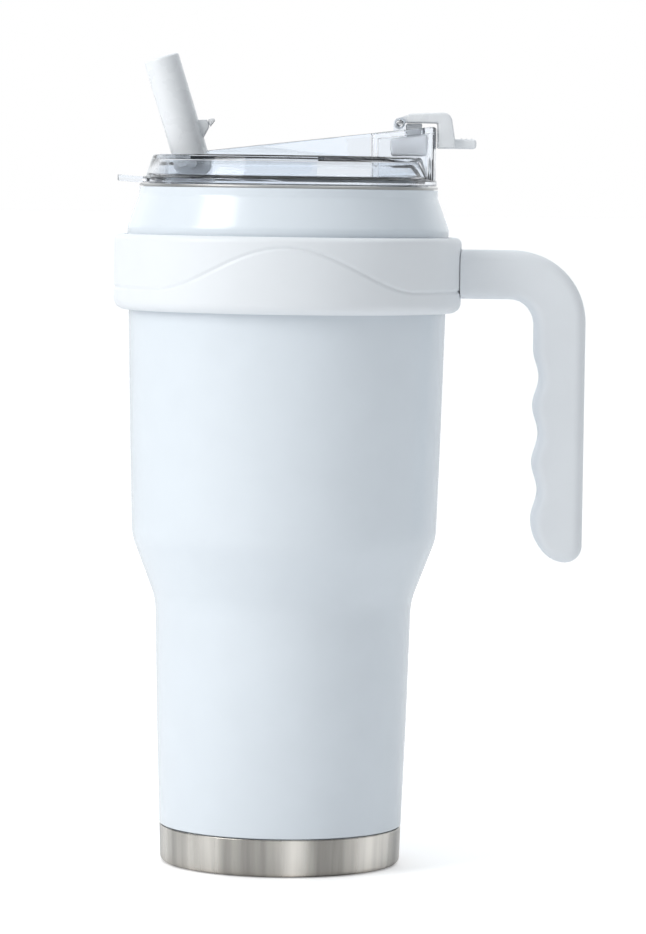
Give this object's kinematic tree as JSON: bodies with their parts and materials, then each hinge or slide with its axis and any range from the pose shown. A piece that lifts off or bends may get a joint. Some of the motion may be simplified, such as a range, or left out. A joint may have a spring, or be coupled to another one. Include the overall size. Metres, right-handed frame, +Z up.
{
  "type": "insulated tumbler with lid",
  "caption": "Tall insulated steel tumbler with a slide-on ring handle and a clear press-in lid with a flip-up straw spout and a flip-open sip cap.",
  "frame": {"origin": "centre of the underside of the base, on the surface that the tumbler stands on", "axes": "+Z up along the cup's axis; +X towards the handle and the sip cap, with the straw spout on the -X side; the assembly is mirror-symmetric about the XZ plane"},
  "size_m": [0.1518, 0.1118, 0.2606],
  "materials": {
    "white_coat": "gloss powder coat, very fine texture",
    "liner_steel": "satin electropolished stainless",
    "brushed_steel_base": "brushed stainless, bare",
    "seal_bead": "fired glass bead, hidden",
    "getter_metal": "dull metal, hidden",
    "handle_plastic": "satin moulded plastic, fine grain",
    "soft_sleeve": "soft matte elastomer",
    "screw_steel": "plain steel screw",
    "clear_plastic": "clear moulded plastic, glossy",
    "silicone": "soft translucent white silicone",
    "white_plastic": "glossy white moulded plastic",
    "pin_steel": "ground steel pin",
    "straw_plastic": "translucent plastic tube"
  },
  "bodies": {
    "tumbler": {"outer_wall": "white_coat", "inner_liner": "liner_steel", "base_cup": "brushed_steel_base", "vacuum_seal_bead": "seal_bead", "vacuum_getter": "getter_metal"},
    "handle": {"handle_ring": "handle_plastic", "ring_sleeve": "soft_sleeve", "handle_arm": "handle_plastic", "arm_screw_1": "screw_steel", "arm_screw_2": "screw_steel"},
    "lid": {"lid_body": "clear_plastic", "lid_seal": "silicone", "spout_seat": "silicone", "sip_seat": "silicone", "sip_cap_pin": "pin_steel"},
    "spout": {"straw_spout": "white_plastic", "vent_plug": "silicone"},
    "sip_cap": {"sip_cap": "white_plastic", "sip_plug": "silicone"},
    "straw": {"straw_tube": "straw_plastic"}
  },
  "joints": [
    {"name": "lid_lift_off", "type": "slide", "parent": "tumbler", "child": "lid", "axis": [0, 0, 1], "range_m": [0, 0.22]},
    {"name": "handle_slide", "type": "slide", "parent": "tumbler", "child": "handle", "axis": [0, 0, 1], "range_m": [-0.095, 0]},
    {"name": "spout_fold", "type": "hinge", "parent": "lid", "child": "spout", "pos_m": [-0.031, 0, 0.2255], "axis": [0, 1, 0], "range_deg": [0, 100]},
    {"name": "sip_cap_flip", "type": "hinge", "parent": "lid", "child": "sip_cap", "pos_m": [0.0353, 0, 0.2389], "axis": [0, -1, 0], "range_deg": [0, 120]},
    {"name": "straw_pull", "type": "slide", "parent": "lid", "child": "straw", "axis": [0, 0, -1], "range_m": [0, 0.009]}
  ]
}
